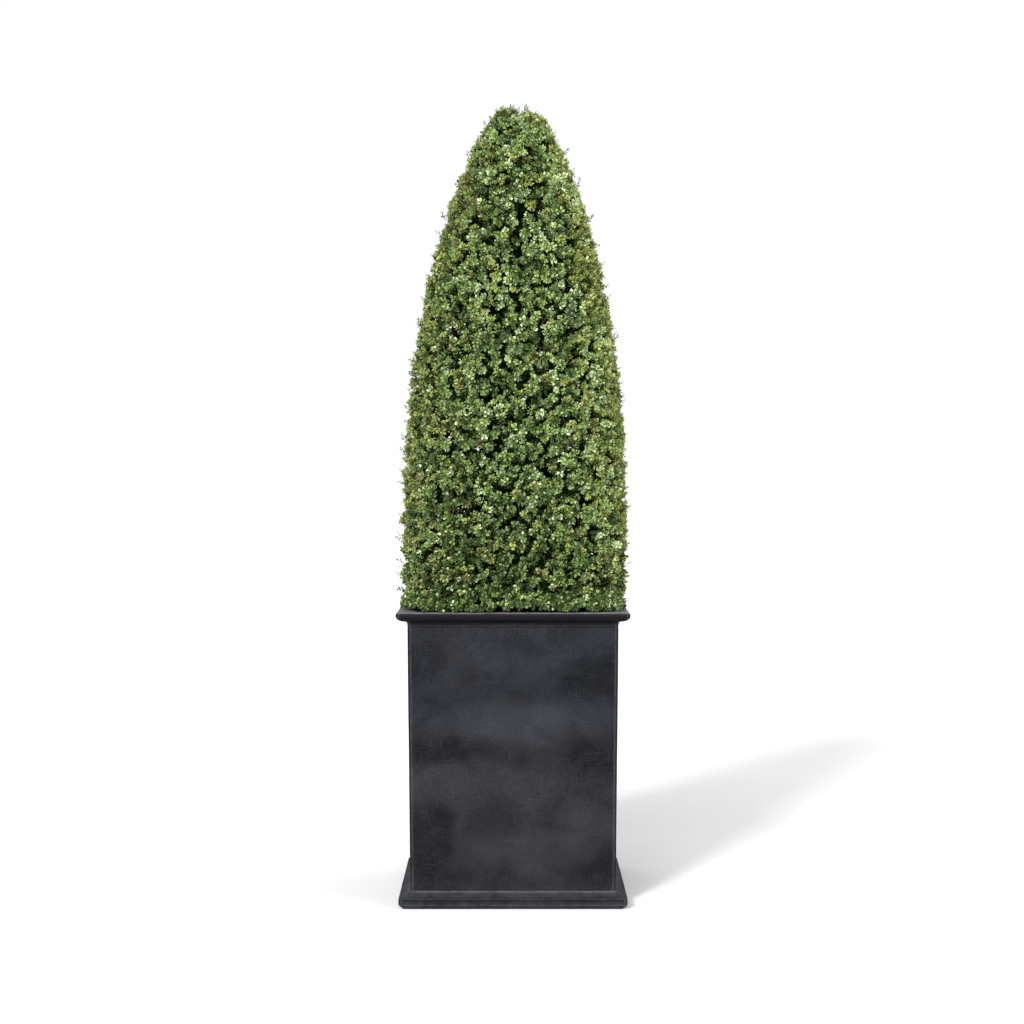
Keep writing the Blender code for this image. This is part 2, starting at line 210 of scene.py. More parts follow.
class Nodes:
    """Builds a material's node tree with short calls; x, y and z are the object's own, in metres."""

    def __init__(self, name):
        self.material = bpy.data.materials.new(name)
        self.material.use_nodes = True
        self.tree = self.material.node_tree
        self.shader = self.tree.nodes["Principled BSDF"]
        self.place = self.tree.nodes.new("ShaderNodeTexCoord").outputs["Object"]

    def feed(self, socket, value):
        """Links a socket, or sets it to a number, vector or colour; None leaves it as it is."""
        if isinstance(value, bpy.types.NodeSocket):
            self.tree.links.new(value, socket)
        elif isinstance(value, tuple) and socket.type == "RGBA":
            socket.default_value = (*value, 1.0)
        elif value is not None:
            socket.default_value = value

    def add(self, kind, inputs, **settings):
        node = self.tree.nodes.new(kind)
        for key, value in settings.items():
            setattr(node, key, value)
        for key, value in inputs.items():
            self.feed(node.inputs[key], value)
        return node

    def axis(self, name):
        return self.add("ShaderNodeSeparateXYZ", {"Vector": self.place}).outputs[name]

    def front(self, low, high):
        """One at the object's front, from high on, and nothing nearer than low to its middle."""
        return self.ramp(self.times(self.axis("Y"), -1.0), low, high)

    def band(self, value, middle, width):
        """One where the value is at the middle, falling to nothing that far from it."""
        away = self.math("ABSOLUTE", self.math("SUBTRACT", value, middle), 0.0)
        return self.ramp(away, 0.0, width, 1.0, 0.0)

    def along_side(self):
        """How far along a side of a square from its middle: the smaller of |x| and |y|."""
        x = self.math("ABSOLUTE", self.axis("X"), 0.0)
        return self.math("MINIMUM", x, self.math("ABSOLUTE", self.axis("Y"), 0.0))

    def noise(self, scale, detail=3.0, rough=0.5, stretch=(1, 1, 1), distortion=0.0, shift=(0, 0, 0)):
        place = self.add("ShaderNodeMapping", {"Vector": self.place, "Location": shift, "Scale": stretch})
        inputs = {"Vector": place.outputs["Vector"], "Scale": scale, "Detail": detail, "Roughness": rough,
                  "Distortion": distortion}
        return self.add("ShaderNodeTexNoise", inputs).outputs["Fac"]

    def ramp(self, value, low, high, out_low=0.0, out_high=1.0):
        inputs = {"Value": value, "From Min": low, "From Max": high, "To Min": out_low, "To Max": out_high}
        return self.add("ShaderNodeMapRange", inputs, interpolation_type="SMOOTHSTEP").outputs["Result"]

    def math(self, operation, a, b):
        return self.add("ShaderNodeMath", {0: a, 1: b}, operation=operation).outputs["Value"]

    def times(self, *values):
        return reduce(lambda a, b: self.math("MULTIPLY", a, b), values)

    def plus(self, *values):
        return reduce(lambda a, b: self.math("ADD", a, b), values)

    def mix(self, factor, a, b, blend="MIX"):
        inputs = {0: factor, 6: a, 7: b}  # 6, 7 and the output 2 are the node's colours
        return self.add("ShaderNodeMix", inputs, data_type="RGBA", blend_type=blend).outputs[2]

    def attribute(self, name):
        return self.add("ShaderNodeAttribute", {}, attribute_name=name).outputs["Fac"]

    def bump(self, height, strength, distance, below=None):
        inputs = {"Height": height, "Strength": strength, "Distance": distance, "Normal": below}
        return self.add("ShaderNodeBump", inputs).outputs["Normal"]

    def finish(self, colour, roughness, normal=None, specular=0.5):
        for name, value in (("Base Color", colour), ("Roughness", roughness), ("Normal", normal),
                            ("Specular IOR Level", specular)):
            self.feed(self.shader.inputs[name], value)
        return self.material


# ---- camera, light and floor

SENSOR_WIDTH = 36.0
LENS = 79.2
CAMERA_PLACE = (-0.0025, -5.90, 1.156)
CAMERA_DIP = 1.62  # degrees below the level
VIEW_REACH = 200.0
# name, energy, softness, degrees to the right of the camera's side and degrees above the floor
SUNS = (("key", 2.7, 9, -24, 27), ("soft_key", 1.6, 45, -12, 30), ("side_light", 2.5, 50, 62, 7))
FILL = 0.65  # strength of the light from all round
WHITE = (1, 1, 1, 1)
STUDIO_REACH = 60.0
STUDIO_TONES = ((0.86, 0.86, 0.86), (0.88, 0.88, 0.88))


def make_camera():
    data = bpy.data.cameras.new("camera")
    data.sensor_width = SENSOR_WIDTH
    data.lens = LENS
    data.clip_end = VIEW_REACH
    camera = add_object("camera", data)
    camera.location = CAMERA_PLACE
    camera.rotation_euler = (math.radians(90 - CAMERA_DIP), 0, 0)
    bpy.context.scene.camera = camera


def add_sun(name, energy, softness, side, rise):
    """A distant lamp, so many degrees to the right of the camera's side and so many above the floor."""
    sun = bpy.data.lights.new(name, "SUN")
    sun.energy = energy
    sun.angle = math.radians(softness)
    lamp = add_object(name, sun)
    side, rise = math.radians(side), math.radians(rise)
    towards = Vector((math.sin(side) * math.cos(rise), -math.cos(side) * math.cos(rise), math.sin(rise)))
    lamp.rotation_mode = "QUATERNION"
    lamp.rotation_quaternion = towards.to_track_quat("Z", "Y")


def make_light():
    for sun in SUNS:
        add_sun(*sun)
    world = bpy.data.worlds.new("studio")
    world.use_nodes = True
    tree = world.node_tree
    fill = tree.nodes["Background"]
    fill.inputs["Color"].default_value = WHITE
    fill.inputs["Strength"].default_value = FILL
    backdrop = tree.nodes.new("ShaderNodeBackground")
    backdrop.inputs["Color"].default_value = WHITE
    seen = tree.nodes.new("ShaderNodeLightPath")
    mix = tree.nodes.new("ShaderNodeMixShader")
    link = tree.links.new
    link(seen.outputs["Is Camera Ray"], mix.inputs[0])
    link(fill.outputs[0], mix.inputs[1])
    link(backdrop.outputs[0], mix.inputs[2])
    link(mix.outputs[0], tree.nodes["World Output"].inputs["Surface"])
    bpy.context.scene.world = world
    bpy.context.scene.view_settings.view_transform = "Standard"


def make_floor():
    corners = ((-1, -1, 0), (1, -1, 0), (1, 1, 0), (-1, 1, 0))
    mesh = make_mesh("floor", np.array(corners) * STUDIO_REACH, np.array([[0, 1, 2, 3]]), False)
    n = Nodes("studio_floor")
    tone = n.ramp(n.noise(1.5, 2.0), 0.3, 0.7)
    mesh.materials.append(n.finish(n.mix(tone, *STUDIO_TONES), 0.9))
    floor = add_object("floor", mesh)


# ---- planter

CORNER_STEPS = 8
SIDE_STEPS = 18
CURVE_STEPS = 10
WALL_RINGS = 22
HIGHLIGHT_WIDTH = 0.004  # of the paler line beside each upright arris, a painted highlight with some rubbing
UPRIGHT_HIGHLIGHT = 0.38  # how pale that painted highlight line is, where a sharp moulding's arris is 1
OUTER_HALF = 0.25  # whatever reaches further out than this is on the planter's outside
MIDDLE = 0.02  # half side of the small square left open amid the underside and the floor, out of sight
INNER_STEP = 0.5  # height of the ring that divides the inside of the wall


def square_outline(half):
    """Points round a square of rounded corners, and how strongly each is paled.

    A corner's paler line, a painted highlight with some rubbing, is strongest where its curve begins."""
    radius = min(CORNER_RADIUS, half * 0.5)
    flat = half - radius
    beside = min(HIGHLIGHT_WIDTH, flat / SIDE_STEPS)
    stops = np.linspace(-flat, flat, SIDE_STEPS + 1)[::-1][1:-1].tolist()
    stops = [flat - beside, *stops, beside - flat]
    points, arris = [], []
    for corner in range(4):
        turn = corner * math.pi / 2
        around = []
        for i in range(CORNER_STEPS + 1):
            angle = math.pi / 2 * i / CORNER_STEPS
            x = half - radius * (1 - math.cos(angle))
            y = half - radius * (1 - math.sin(angle))
            around.append((x, y, abs(math.cos(2 * angle)) ** 3))
        around += [(stop, half, 0.0) for stop in stops]
        for x, y, near in around:
            points.append((x * math.cos(turn) - y * math.sin(turn), x * math.sin(turn) + y * math.cos(turn)))
            arris.append(near)
    return points, arris


def quarter(centre, reach, rise, start):
    """Points along a quarter of an ellipse that starts at so many degrees; nothing there is rubbed."""
    points = []
    for i in range(CURVE_STEPS + 1):
        angle = math.radians(start + 90 * i / CURVE_STEPS)
        points.append((centre[0] + reach * math.cos(angle), centre[1] + rise * math.sin(angle), 0.0))
    return points


def inner_half(height):
    """Half the planter's inner side at a height; the body widens upwards."""
    share = height / PLANTER_HEIGHT
    return (BODY_SIDE_FOOT + (BODY_SIDE_TOP - BODY_SIDE_FOOT) * share) / 2 - WALL


def planter_profile():
    """(half side, height, paling) from the underside's middle, up the outside and down the inside.

    The paling stands for rubbing and painted highlights on the arrises, and for painted light from above on
    the splay and the ledge. The steps of about a millimetre beside each arris ease it."""
    plinth = PLINTH_SIDE / 2
    foot = BODY_SIDE_FOOT / 2
    head = BODY_SIDE_TOP / 2
    rim = RIM_SIDE / 2
    top = PLANTER_HEIGHT
    mouth = inner_half(top)
    splay = []
    rise = PLINTH_SPLAY_TOP - PLINTH_FACE_TOP
    for i in range(1, CURVE_STEPS):
        share = i / CURVE_STEPS
        hollow = SPLAY_HOLLOW * math.sin(math.pi * share)
        splay.append((plinth + (foot - plinth) * share, PLINTH_FACE_TOP + rise * share - hollow, 0.30))
    wall = []
    low, high = PLINTH_SPLAY_TOP + 0.0035, top - COVE_DEPTH - 0.0040
    for i in range(WALL_RINGS + 1):
        share = i / WALL_RINGS
        wall.append((foot + (head - foot) * share, low + (high - low) * share, 0.0))
    cove = quarter((head + COVE_RADIUS, top - COVE_DEPTH), COVE_RADIUS, COVE_DEPTH - SOFFIT_DEPTH, 90)
    nose = quarter((rim - NOSE_REACH, top - NOSE_TOP), NOSE_REACH, NOSE_DEPTH - NOSE_TOP, 270)
    # the third values: rubbing and painted highlights on the arrises, painted light from above on the splay
    # and the ledge
    return [
        (MIDDLE, 0.0, 0), (plinth - PLINTH_CHAMFER, 0.0, 0.2),
        (plinth - 0.0012, PLINTH_CHAMFER - 0.0012, 0.3), (plinth - 0.0003, PLINTH_CHAMFER, 1.0),
        (plinth, PLINTH_CHAMFER + 0.0012, 0.3), (plinth, PLINTH_FACE_TOP - 0.0015, 0.0),
        (plinth - 0.0004, PLINTH_FACE_TOP, 0.55), *splay,
        (foot + 0.0012, PLINTH_SPLAY_TOP - 0.0002, 1.0), (foot + 0.0002, PLINTH_SPLAY_TOP + 0.0012, 0.7),
        *wall, (head - 0.0010, high + 0.0010, 0.0), (head - 0.0010, high + 0.0024, 0.0),
        (head + 0.0003, high + 0.0034, 0.5), *cove[::-1], *nose,
        (rim, top - NOSE_TOP + 0.0008, 0.0), (rim - RIM_ARRIS / 3, top - RIM_ARRIS, 0.1),
        (rim - RIM_ARRIS * 0.66, top - RIM_ARRIS * 0.33, 1.0), (rim - RIM_ARRIS * 1.3, top, 1.0),
        (rim - 0.010, top, 0.9), (rim - 0.024, top, 0.8), (rim - 0.036, top, 0.8),
        (mouth + RIM_ARRIS, top, 0.5), (mouth + 0.0008, top - 0.0008, 0.6), (mouth, top - RIM_ARRIS, 0.3),
        (inner_half(INNER_STEP), INNER_STEP, 0.0), (inner_half(FLOOR), FLOOR, 0.0), (MIDDLE, FLOOR, 0.0),
    ]


def make_planter():
    rows, wear_and_highlight = [], []
    for half, height, worn_and_lit in planter_profile():
        outline, arris = square_outline(half)
        on_wall = 0.0 < height < PLANTER_HEIGHT and half > OUTER_HALF
        rows.append([(x, y, height) for x, y in outline])
        # each point's paling: rubbing and painted highlights
        wear_and_highlight.append([max(worn_and_lit, UPRIGHT_HIGHLIGHT * near * on_wall) for near in arris])
    flat = np.array(rows).reshape(-1, 3)
    # hand-finished surfaces are never quite flat, nor the arrises quite straight
    outside = (np.abs(flat[:, :2]).max(axis=1) > OUTER_HALF)[:, None]
    wave = 0.00045 * swell(flat, 0.13, 1) + 0.00030 * swell(flat, 0.035, 2)
    flat = flat + np.where(outside, unit(flat * LEVEL) * wave[:, None], 0)
    lift = (0.00035 * swell(flat, 0.05, 3))[:, None]
    off_ground = (flat[:, 2] > 0.004)[:, None]
    flat = flat + np.where(outside & off_ground, lift * UP, 0)
    faces = skin(np.arange(len(flat)).reshape(len(rows), -1))
    piece = add_piece("planter_shell", flat, faces, planter_material(), "planter")
    layer = piece.data.attributes.new("wear_and_highlight", "FLOAT", "POINT")
    layer.data.foreach_set("value", np.array(wear_and_highlight, np.float32).ravel())
    piece.data.set_sharp_from_angle(angle=math.radians(38))


X_BEND = 0.06  # metres of noise that make the patches ragged along x
HEIGHT_BEND = 0.10  # and, with the level bands, in height

# base colours on the planter, with painted shade, a painted shadow and painted light among them
CHARCOAL = (0.0044, 0.0041, 0.0058)
HAZE = (0.0270, 0.0262, 0.0312)
BLUISH = (0.84, 1.05, 1.06)  # multiplies what it washes
GRIME = (0.0050, 0.0044, 0.0064)
STROKES = (0.0420, 0.0425, 0.0480)
DARK_GRAIN = (0.74, 0.74, 0.75)
PALE_GRAIN = (1.20, 1.20, 1.20)
# painted shade on the rim
RIM_SHADE = (0.0050, 0.0046, 0.0056)
PLINTH_TONE = (0.0028, 0.0024, 0.0036)
# a painted shadow line under the rim
RIM_SHADOW_LINE = (0.0030, 0.0028, 0.0036)
SPECKS = (0.080, 0.084, 0.088)
# painted shade on the outer curve of the upright corners
CORNER_SHADE = (0.0045, 0.0042, 0.0054)
# paler arrises, rubbed and painted as highlights, and a splay and ledge paler with painted light from above
RUBBED_AND_HIGHLIT = (0.082, 0.087, 0.097)
# the ledge's paleness: dust and painted light from above
DUST_AND_TOP_LIGHT = (0.185, 0.178, 0.188)

# level bands in the haze: height, half height and strength
BANDS = ((0.51, 0.06, 0.10), (0.435, 0.035, -0.10), (0.36, 0.06, 0.08))

# hazy and dark patches brushed on the planter's front: x, height, half width, half height and strength
PATCHES = (
    (-0.07, 0.63, 0.08, 0.04, 0.20), (-0.22, 0.59, 0.05, 0.12, -0.20), (0.21, 0.54, 0.08, 0.10, -0.34),
    (-0.01, 0.455, 0.14, 0.05, 0.34), (0.16, 0.475, 0.10, 0.05, 0.18), (-0.10, 0.385, 0.16, 0.035, -0.16),
    (0.20, 0.36, 0.08, 0.06, -0.32), (-0.15, 0.315, 0.12, 0.055, 0.20), (0.05, 0.30, 0.11, 0.045, 0.12),
    (-0.06, 0.235, 0.09, 0.040, 0.10), (-0.22, 0.17, 0.06, 0.09, -0.28), (0.18, 0.205, 0.08, 0.06, 0.34),
    (0.04, 0.150, 0.15, 0.045, 0.24), (0.23, 0.10, 0.07, 0.06, -0.34), (-0.06, 0.075, 0.15, 0.02, -0.10),
)


def patches(n, wavy):
    """Soft ellipses, hazy or dark, which noise in x and in the wavy height makes ragged."""
    x = n.plus(n.axis("X"), n.times(n.noise(9.0, 2.0, 0.5, shift=(3, 0, 5)), X_BEND))
    hazes = []
    for middle, height, half_width, half_height, strength in PATCHES:
        # half of each bend is what the noise adds on average
        across_it = n.math("DIVIDE", n.math("SUBTRACT", x, middle + X_BEND / 2), half_width)
        up_it = n.math("DIVIDE", n.math("SUBTRACT", wavy, height + HEIGHT_BEND / 2), half_height)
        away = n.plus(n.times(across_it, across_it), n.times(up_it, up_it))
        hazes.append(n.ramp(away, 0.0, 1.9, strength, 0.0))
    return n.plus(*hazes)


def hazy_charcoal(n, height, wavy):
    """Charcoal under drifts, bands and patches of haze, and a bluish wash over its upper half."""
    drift = n.noise(1.0, 3.0, 0.55, stretch=(3.0, 3.0, 6.5), distortion=0.5, shift=(0.4, 0.0, 0.13))
    cloud = n.noise(10.0, 4.0, 0.6, distortion=0.6)
    drifts = n.times(n.ramp(drift, 0.35, 0.65), 0.18)
    clouds = n.times(n.ramp(cloud, 0.34, 0.66), 0.28)
    haze = n.plus(drifts, clouds, 0.12)
    for middle, width, strength in BANDS:
        haze = n.plus(haze, n.times(n.band(wavy, middle, width), strength))
    haze = n.plus(haze, n.times(patches(n, wavy), n.front(0.21, 0.25)))
    colour = n.mix(haze, CHARCOAL, HAZE)
    upper = n.times(n.ramp(height, 0.40, 0.50), n.ramp(height, 0.670, 0.700, 1.0, 0.3))
    washed = n.times(upper, n.ramp(n.noise(5.0, 2.0, 0.5), 0.26, 0.52), 0.9)
    return n.mix(washed, colour, BLUISH, "MULTIPLY")


def grimy(n, colour, height, along, wavy):
    """Darker towards the lower corners, and in a band at half height beside the corners."""
    band = n.band(wavy, 0.435, 0.05)
    low = n.ramp(height, 0.06, 0.25, 1.0, 0.0)
    patchy = n.ramp(n.noise(7.0, 3.0, 0.6), 0.32, 0.60)
    grime = n.times(n.math("MAXIMUM", low, band), n.ramp(along, 0.10, 0.25, 0.10, 1.0), patchy, 0.75)
    return n.mix(grime, colour, GRIME)


def brushed(n, colour, strokes):
    """Paler strokes of the brush, over a fine grain."""
    fade = n.ramp(n.noise(12.0, 3.0, 0.6), 0.36, 0.66, 0.05, 0.24)
    colour = n.mix(n.times(strokes, fade), colour, STROKES)
    grainy = n.ramp(n.noise(300.0, 3.0, 0.6), 0.32, 0.68)
    darker = n.mix(1.0, colour, DARK_GRAIN, "MULTIPLY")
    paler = n.mix(1.0, colour, PALE_GRAIN, "MULTIPLY")
    return n.mix(grainy, darker, paler)


def dark_mouldings(n, colour, height):
    """Painted shade on the rim, whose nose faces partly down, a darker plinth, and a broken painted shadow
    line under the rim.
    """
    # painted shade on the rim and above it
    colour = n.mix(n.ramp(height, 0.709, 0.720, 0.0, 0.85), colour, RIM_SHADE)
    rubbed = n.ramp(n.noise(9.0, 4.0, 0.6, stretch=(1, 1, 5)), 0.36, 0.60, 1.00, 0.62)
    colour = n.mix(n.times(n.ramp(height, 0.025, 0.029, 1.0, 0.0), rubbed), colour, PLINTH_TONE)
    # a broken painted shadow line under the rim
    bowed = n.plus(height, n.times(n.noise(26.0, 3.0, 0.6), 0.007))
    broken = n.ramp(n.noise(14.0, 2.0, 0.5, shift=(2, 1, 0)), 0.40, 0.52)
    return n.mix(n.times(n.band(bowed, 0.7125, 0.0022), broken, 0.85), colour, RIM_SHADOW_LINE)


def wear_and_painted_light(n, colour, height, along):
    """Pale specks where it is scuffed, painted shade on the upright corners, arrises rubbed and painted with
    highlights, and a ledge paler with dust and painted light from above.
    """
    specks = n.ramp(n.noise(520.0, 2.0, 0.5), 0.58, 0.70)
    here_and_there = n.ramp(n.noise(6.0, 3.0, 0.6), 0.62, 0.76, 0.0, 0.5)
    low_corners = n.times(n.ramp(height, 0.06, 0.12, 0.6, 0.0), n.ramp(along, 0.20, 0.25))
    scuffed = n.math("MAXIMUM", here_and_there, low_corners)
    colour = n.mix(n.times(specks, scuffed, 0.7), colour, SPECKS)
    # painted shade on the outer curve of each upright corner
    body = (n.ramp(height, 0.706, 0.712, 1.0, 0.0), n.ramp(height, 0.036, 0.044))
    colour = n.mix(n.times(n.ramp(along, 0.2545, 0.2590), *body, 0.8), colour, CORNER_SHADE)
    ragged = n.ramp(n.noise(38.0, 4.0, 0.65), 0.25, 0.62, 0.30, 1.0)
    # arrises paled by rubbing and painted highlights, the splay and the ledge by painted light from above
    colour = n.mix(n.times(n.attribute("wear_and_highlight"), ragged, 0.75), colour, RUBBED_AND_HIGHLIT)
    # the ledge paler, partly dust and partly painted light from above
    return n.mix(n.times(n.ramp(height, 0.7438, 0.7444), ragged, 0.90), colour, DUST_AND_TOP_LIGHT)


def planter_material():
    """Charcoal composite with a patina brushed on by hand."""
    n = Nodes("charcoal_composite")
    height = n.axis("Z")
    along = n.along_side()
    wavy = n.plus(height, n.times(n.noise(3.0, 2.0, 0.5), HEIGHT_BEND))
    upright = n.ramp(n.noise(1.0, 3.0, 0.6, stretch=(300, 300, 34)), 0.46, 0.72)
    level = n.ramp(n.noise(1.0, 3.0, 0.6, stretch=(40, 40, 340)), 0.46, 0.72)
    strokes = n.math("MAXIMUM", upright, level)
    colour = hazy_charcoal(n, height, wavy)
    colour = grimy(n, colour, height, along, wavy)
    colour = brushed(n, colour, strokes)
    colour = dark_mouldings(n, colour, height)
    colour = wear_and_painted_light(n, colour, height, along)
    rough = n.ramp(n.noise(18.0, 3.0, 0.6), 0.3, 0.7, 0.48, 0.62)
    grain = n.bump(n.noise(420.0, 3.0, 0.6), 0.20, 0.0010)
    ridges = n.bump(strokes, 0.14, 0.0006, grain)
    dents = n.bump(n.noise(30.0, 2.0, 0.5), 0.30, 0.0030, ridges)
    return n.finish(colour, rough, dents, specular=0.07)


# ---- compost and stem

COMPOST_STEPS = 130  # points along each side of its crumbly top
COMPOST_GAP = 0.0008  # between it and the wall
BARK_CHIPS = 2600
CHIP_SIZE = (0.0018, 0.0050)
# a chip's corners, which are scaled one by one, and its faces
CHIP = np.array([(1, 0, 0), (0.1, 0.8, 0), (-1, 0.1, 0), (0, -0.7, 0), (0.1, 0.1, 0.45), (0, 0, -0.45)])
CHIP_FACES = np.array([
    (0, 1, 4), (1, 2, 4), (2, 3, 4), (3, 0, 4), (1, 0, 5), (2, 1, 5), (3, 2, 5), (0, 3, 5)])
CLEAR = 0.0003  # the gap between the stem and what it touches


def make_compost():
    top = PLANTER_HEIGHT - COMPOST_BELOW_RIM
    half = inner_half(top) - COMPOST_GAP
    axis = np.linspace(-half, half, COMPOST_STEPS)
    x, y = np.meshgrid(axis, axis, indexing="ij")
    flat = np.c_[x.ravel(), y.ravel(), np.full(x.size, top)]
    crumbs = 0.0022 * swell(flat, 0.012, 4) + 0.0012 * swell(flat, 0.005, 5) + 0.003 * swell(flat, 0.09, 6)
    flat[:, 2] += crumbs - 0.003
    corner = np.arange(x.size).reshape(x.shape)
    faces = np.stack([corner[:-1, :-1], corner[1:, :-1], corner[1:, 1:], corner[:-1, 1:]], -1).reshape(-1, 4)
    n = Nodes("compost")
    tone = n.ramp(n.noise(90.0, 5.0, 0.7), 0.3, 0.7)
    colour = n.mix(tone, (0.012, 0.008, 0.005), (0.055, 0.036, 0.022))
    damp = n.ramp(n.noise(14.0, 2.0), 0.35, 0.65, 0.80, 0.98)
    material = n.finish(colour, damp, n.bump(n.noise(260.0, 4.0, 0.7), 0.8, 0.003), 0.3)
    add_piece("compost_top", flat, faces, material, "compost")
    add_bark_chips(top, half)


def add_bark_chips(top, half):
    """Strews chips of bark on the compost."""
    places = rng.uniform(-half + 0.006, half - 0.006, (BARK_CHIPS, 2))
    height = top - 0.003 + 0.0015 * rng.random(BARK_CHIPS)
    size = rng.uniform(*CHIP_SIZE, BARK_CHIPS)[:, None, None]
    shape = CHIP[None] * rng.uniform(0.6, 1.2, (BARK_CHIPS, len(CHIP), 1))
    turn = rng.uniform(0, 2 * math.pi, BARK_CHIPS)
    cosine, sine = np.cos(turn)[:, None], np.sin(turn)[:, None]
    tilt = rng.normal(0, 0.35, (BARK_CHIPS, 2))
    x, y, _ = np.moveaxis(shape, -1, 0)
    spun = np.stack([x * cosine - y * sine, x * sine + y * cosine, shape[..., 2]], -1)
    spun[..., 2] += spun[..., 0] * tilt[:, :1] + spun[..., 1] * tilt[:, 1:]
    chips = spun * size + np.c_[places, height][:, None, :]
    faces = (np.arange(BARK_CHIPS)[:, None, None] * len(CHIP) + CHIP_FACES[None]).reshape(-1, 3)
    material = Nodes("bark_chips").finish((0.060, 0.038, 0.024), 0.9, None, 0.3)
    add_piece("compost_chips", chips.reshape(-1, 3), faces, material, "compost", smooth=False)


def bark_material():
    n = Nodes("boxwood_bark")
    plates = n.noise(1.0, 4.0, 0.65, stretch=(230, 230, 60), distortion=0.6)
    colour = n.mix(n.ramp(plates, 0.35, 0.65), (0.075, 0.055, 0.036), (0.235, 0.190, 0.135))
    moss = n.ramp(n.noise(22.0, 3.0), 0.55, 0.72)
    colour = n.mix(n.times(moss, 0.35), colour, (0.120, 0.130, 0.060))
    return n.finish(colour, 0.86, n.bump(plates, 0.7, 0.0022), 0.25)


def make_stem(material):
    """The trunk, with a root flare at its foot, a lean, and furrowed bark as real relief."""
    foot = PLANTER_HEIGHT - COMPOST_BELOW_RIM + CLEAR
    length = CROWN_FOOT + DISH_HEIGHT - CLEAR - foot
    around, rings = 84, 60
    angle = np.arange(around) * 2 * math.pi / around
    points = []
    for i in range(rings):
        rise = length * (i / (rings - 1)) ** 1.3
        share = rise / length
        taper = STEM_RADIUS + (STEM_TIP_RADIUS - STEM_RADIUS) * share
        lobes = 0.6 + 0.4 * np.cos(FLARE_LOBES * angle + 0.5 * np.sin(angle))
        radius = taper + FLARE_RADIUS * math.exp(-rise / FLARE_HEIGHT) * lobes
        x = STEM_LEAN[0] * share + radius * np.cos(angle)
        y = STEM_LEAN[1] * share + radius * np.sin(angle)
        points.append(np.c_[x, y, np.full(around, foot + rise)])
    points = np.concatenate(points)
    out = unit(points * LEVEL - np.array([*STEM_LEAN, 0]))
    furrow = swell(points * np.array([1, 1, 0.28]), 0.0065, 8)
    relief = 0.0013 * np.abs(furrow) + 0.0009 * swell(points, 0.018, 9) - 0.0010
    points = points + out * relief[:, None]
    faces = skin(np.arange(around * rings).reshape(rings, around))
    add_piece("stem_bark", points, faces, material, "stem")


# ---- crown


def clipped_radius(height):
    """The clipped outline: a blunt ogive, which draws in a little at its foot."""
    rise = np.maximum(np.asarray(height, float) - CROWN_FOOT, 0)
    share = OGIVE_CUT * np.minimum(rise / CROWN_HEIGHT, 1)
    tuck = FOOT_TUCK * np.maximum(1 - rise / FOOT_TUCK_HEIGHT, 0) ** 2
    return CLIPPED_WIDTH / 2 * (1 - share**OGIVE_FLATNESS) ** OGIVE_ROUNDNESS - tuck


def rise_share(points):
    """How high up the crown each point is, from 0 at its foot to 1 at its clipped top."""
    return (points[:, 2] - CROWN_FOOT) / CROWN_HEIGHT


def add_crown_piece(name, points, faces, material, slot="boxwood_bark"):
    """Adds a piece of the crown, which leans to the right, more the higher up."""
    lean = CROWN_LEAN * (points[:, 2] - CROWN_FOOT) / CROWN_HEIGHT
    add_piece(name, points + lean[:, None] * np.array([1.0, 0, 0]), faces, material, "crown")


def outward(height):
    """The clipped outline's normal: shares outwards and upwards."""
    step = 0.004
    fall = (clipped_radius(height - step) - clipped_radius(height + step)) / (2 * step)
    return unit(np.stack([np.ones_like(fall), fall], -1))


def surface_sites(count, uneven):
    """Heights and azimuths of sites spread over the clipped surface along a golden-angle spiral."""
    steps = 4000
    heights = CROWN_FOOT + CROWN_HEIGHT * (np.arange(steps) + 0.5) / steps
    areas = clipped_radius(heights) / outward(heights)[:, 0]
    passed = np.cumsum(areas) / areas.sum()
    height = np.interp((np.arange(count) + 0.5) / count, passed, heights)
    azimuth = np.arange(count) * GOLDEN_ANGLE
    gap = math.sqrt(2 * math.pi * areas.sum() * CROWN_HEIGHT / steps / count)
    height = height + rng.uniform(-uneven, uneven, count) * gap
    height = np.clip(height, CROWN_FOOT + 0.001, CLIPPED_TOP - 0.0005)
    azimuth = azimuth + rng.uniform(-uneven, uneven, count) * gap / clipped_radius(height)
    return height, azimuth


def site_frame(height, azimuth):
    """The point on the clipped surface, the normal there and the direction up the surface."""
    slope = outward(height)
    radial = np.stack([np.cos(azimuth), np.sin(azimuth), np.zeros_like(azimuth)], -1)
    out = radial * slope[:, :1] + UP * slope[:, 1:]
    aside = np.stack([-radial[:, 1], radial[:, 0], np.zeros_like(azimuth)], -1)
    point = radial * clipped_radius(height)[:, None] + UP * height[:, None]
    return point, out, np.cross(out, aside)


def tubes(paths, radii, sides):
    """Tapering tubes along paths of (count, rings, 3) points, with a radius for each ring."""
    count, rings, _ = paths.shape
    radii = np.broadcast_to(radii, (count, rings))
    aside, other = across(unit(np.gradient(paths, axis=1)))
    spokes = turned(aside[:, :, None], other[:, :, None], np.arange(sides) * 2 * math.pi / sides)
    points = paths[:, :, None] + spokes * radii[:, :, None, None]
    return points.reshape(-1, 3), skin(np.arange(count * rings * sides).reshape(count, rings, sides))


def bend(start, end, lift, rings):
    """Paths from start to end that bow by lift."""
    share = np.linspace(0, 1, rings)[None, :, None]
    return start[:, None] * (1 - share) + end[:, None] * share + lift[:, None] * (share * (1 - share) * 4)


# root, two shoulders on each side and tip: the margins curl down from the midrib
LEAF_OUTLINE = np.array([
    (0.00, 0.00, 0.00),
    (0.33, 0.46, -0.12), (0.74, 0.40, -0.17),
    (1.00, 0.00, -0.10),
    (0.74, -0.40, -0.17), (0.33, -0.46, -0.12),
])
LEAF_FACES = np.array([(0, 2, 1), (0, 3, 2), (0, 4, 3), (0, 5, 4)])


